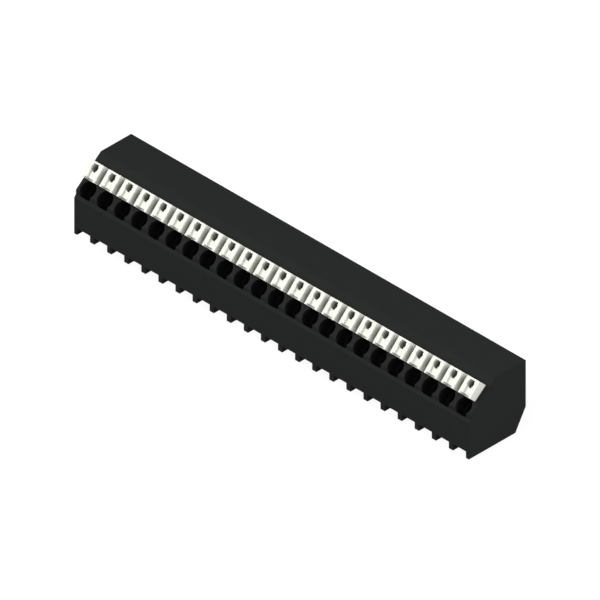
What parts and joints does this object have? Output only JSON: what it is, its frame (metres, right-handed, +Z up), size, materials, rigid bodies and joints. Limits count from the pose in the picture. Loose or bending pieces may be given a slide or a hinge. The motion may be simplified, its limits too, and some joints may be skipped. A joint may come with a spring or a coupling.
{
  "type": "pcb terminal block",
  "caption": "Low slant-fronted circuit-board terminal block: a row of push-in wire entries, each with a white push button above it that opens its spring clamp.",
  "frame": {"origin": "on the board's surface, at the middle of the solder-pin pattern: half way between the first and last pole's centre lines and between the two rows of pins", "axes": "+X along the row, from the left end to the right end as seen by someone who faces the wire side; +Y from the wire side to the back; +Z up from the board"},
  "size_m": [0.0809, 0.0117, 0.0134],
  "materials": {
    "black_plastic": "fine-grained moulded, satin",
    "white_plastic": "smooth moulded, satin",
    "spring_steel": "rolled strip",
    "tinned_copper": "matt tin plate"
  },
  "bodies": {
    "block": {"housing": "black_plastic", "contacts": "tinned_copper", "clamp_spring_01": "spring_steel", "clamp_spring_02": "spring_steel", "clamp_spring_03": "spring_steel", "clamp_spring_04": "spring_steel", "clamp_spring_05": "spring_steel", "clamp_spring_06": "spring_steel", "clamp_spring_07": "spring_steel", "clamp_spring_08": "spring_steel", "clamp_spring_09": "spring_steel", "clamp_spring_10": "spring_steel", "clamp_spring_11": "spring_steel", "clamp_spring_12": "spring_steel", "clamp_spring_13": "spring_steel", "clamp_spring_14": "spring_steel", "clamp_spring_15": "spring_steel", "clamp_spring_16": "spring_steel", "clamp_spring_17": "spring_steel", "clamp_spring_18": "spring_steel", "clamp_spring_19": "spring_steel", "clamp_spring_20": "spring_steel", "clamp_spring_21": "spring_steel", "clamp_spring_22": "spring_steel", "clamp_spring_23": "spring_steel"},
    "button_01": {"push_button_01": "white_plastic"},
    "button_02": {"push_button_02": "white_plastic"},
    "button_03": {"push_button_03": "white_plastic"},
    "button_04": {"push_button_04": "white_plastic"},
    "button_05": {"push_button_05": "white_plastic"},
    "button_06": {"push_button_06": "white_plastic"},
    "button_07": {"push_button_07": "white_plastic"},
    "button_08": {"push_button_08": "white_plastic"},
    "button_09": {"push_button_09": "white_plastic"},
    "button_10": {"push_button_10": "white_plastic"},
    "button_11": {"push_button_11": "white_plastic"},
    "button_12": {"push_button_12": "white_plastic"},
    "button_13": {"push_button_13": "white_plastic"},
    "button_14": {"push_button_14": "white_plastic"},
    "button_15": {"push_button_15": "white_plastic"},
    "button_16": {"push_button_16": "white_plastic"},
    "button_17": {"push_button_17": "white_plastic"},
    "button_18": {"push_button_18": "white_plastic"},
    "button_19": {"push_button_19": "white_plastic"},
    "button_20": {"push_button_20": "white_plastic"},
    "button_21": {"push_button_21": "white_plastic"},
    "button_22": {"push_button_22": "white_plastic"},
    "button_23": {"push_button_23": "white_plastic"}
  },
  "joints": [
    {"name": "press_01", "type": "slide", "parent": "block", "child": "button_01", "axis": [0, 0.7071, -0.7071], "range_m": [0, 0.0012], "stiffness_N_per_m": 4000, "deforming": ["clamp_spring_01"]},
    {"name": "press_02", "type": "slide", "parent": "block", "child": "button_02", "axis": [0, 0.7071, -0.7071], "range_m": [0, 0.0012], "stiffness_N_per_m": 4000, "deforming": ["clamp_spring_02"]},
    {"name": "press_03", "type": "slide", "parent": "block", "child": "button_03", "axis": [0, 0.7071, -0.7071], "range_m": [0, 0.0012], "stiffness_N_per_m": 4000, "deforming": ["clamp_spring_03"]},
    {"name": "press_04", "type": "slide", "parent": "block", "child": "button_04", "axis": [0, 0.7071, -0.7071], "range_m": [0, 0.0012], "stiffness_N_per_m": 4000, "deforming": ["clamp_spring_04"]},
    {"name": "press_05", "type": "slide", "parent": "block", "child": "button_05", "axis": [0, 0.7071, -0.7071], "range_m": [0, 0.0012], "stiffness_N_per_m": 4000, "deforming": ["clamp_spring_05"]},
    {"name": "press_06", "type": "slide", "parent": "block", "child": "button_06", "axis": [0, 0.7071, -0.7071], "range_m": [0, 0.0012], "stiffness_N_per_m": 4000, "deforming": ["clamp_spring_06"]},
    {"name": "press_07", "type": "slide", "parent": "block", "child": "button_07", "axis": [0, 0.7071, -0.7071], "range_m": [0, 0.0012], "stiffness_N_per_m": 4000, "deforming": ["clamp_spring_07"]},
    {"name": "press_08", "type": "slide", "parent": "block", "child": "button_08", "axis": [0, 0.7071, -0.7071], "range_m": [0, 0.0012], "stiffness_N_per_m": 4000, "deforming": ["clamp_spring_08"]},
    {"name": "press_09", "type": "slide", "parent": "block", "child": "button_09", "axis": [0, 0.7071, -0.7071], "range_m": [0, 0.0012], "stiffness_N_per_m": 4000, "deforming": ["clamp_spring_09"]},
    {"name": "press_10", "type": "slide", "parent": "block", "child": "button_10", "axis": [0, 0.7071, -0.7071], "range_m": [0, 0.0012], "stiffness_N_per_m": 4000, "deforming": ["clamp_spring_10"]},
    {"name": "press_11", "type": "slide", "parent": "block", "child": "button_11", "axis": [0, 0.7071, -0.7071], "range_m": [0, 0.0012], "stiffness_N_per_m": 4000, "deforming": ["clamp_spring_11"]},
    {"name": "press_12", "type": "slide", "parent": "block", "child": "button_12", "axis": [0, 0.7071, -0.7071], "range_m": [0, 0.0012], "stiffness_N_per_m": 4000, "deforming": ["clamp_spring_12"]},
    {"name": "press_13", "type": "slide", "parent": "block", "child": "button_13", "axis": [0, 0.7071, -0.7071], "range_m": [0, 0.0012], "stiffness_N_per_m": 4000, "deforming": ["clamp_spring_13"]},
    {"name": "press_14", "type": "slide", "parent": "block", "child": "button_14", "axis": [0, 0.7071, -0.7071], "range_m": [0, 0.0012], "stiffness_N_per_m": 4000, "deforming": ["clamp_spring_14"]},
    {"name": "press_15", "type": "slide", "parent": "block", "child": "button_15", "axis": [0, 0.7071, -0.7071], "range_m": [0, 0.0012], "stiffness_N_per_m": 4000, "deforming": ["clamp_spring_15"]},
    {"name": "press_16", "type": "slide", "parent": "block", "child": "button_16", "axis": [0, 0.7071, -0.7071], "range_m": [0, 0.0012], "stiffness_N_per_m": 4000, "deforming": ["clamp_spring_16"]},
    {"name": "press_17", "type": "slide", "parent": "block", "child": "button_17", "axis": [0, 0.7071, -0.7071], "range_m": [0, 0.0012], "stiffness_N_per_m": 4000, "deforming": ["clamp_spring_17"]},
    {"name": "press_18", "type": "slide", "parent": "block", "child": "button_18", "axis": [0, 0.7071, -0.7071], "range_m": [0, 0.0012], "stiffness_N_per_m": 4000, "deforming": ["clamp_spring_18"]},
    {"name": "press_19", "type": "slide", "parent": "block", "child": "button_19", "axis": [0, 0.7071, -0.7071], "range_m": [0, 0.0012], "stiffness_N_per_m": 4000, "deforming": ["clamp_spring_19"]},
    {"name": "press_20", "type": "slide", "parent": "block", "child": "button_20", "axis": [0, 0.7071, -0.7071], "range_m": [0, 0.0012], "stiffness_N_per_m": 4000, "deforming": ["clamp_spring_20"]},
    {"name": "press_21", "type": "slide", "parent": "block", "child": "button_21", "axis": [0, 0.7071, -0.7071], "range_m": [0, 0.0012], "stiffness_N_per_m": 4000, "deforming": ["clamp_spring_21"]},
    {"name": "press_22", "type": "slide", "parent": "block", "child": "button_22", "axis": [0, 0.7071, -0.7071], "range_m": [0, 0.0012], "stiffness_N_per_m": 4000, "deforming": ["clamp_spring_22"]},
    {"name": "press_23", "type": "slide", "parent": "block", "child": "button_23", "axis": [0, 0.7071, -0.7071], "range_m": [0, 0.0012], "stiffness_N_per_m": 4000, "deforming": ["clamp_spring_23"]}
  ]
}
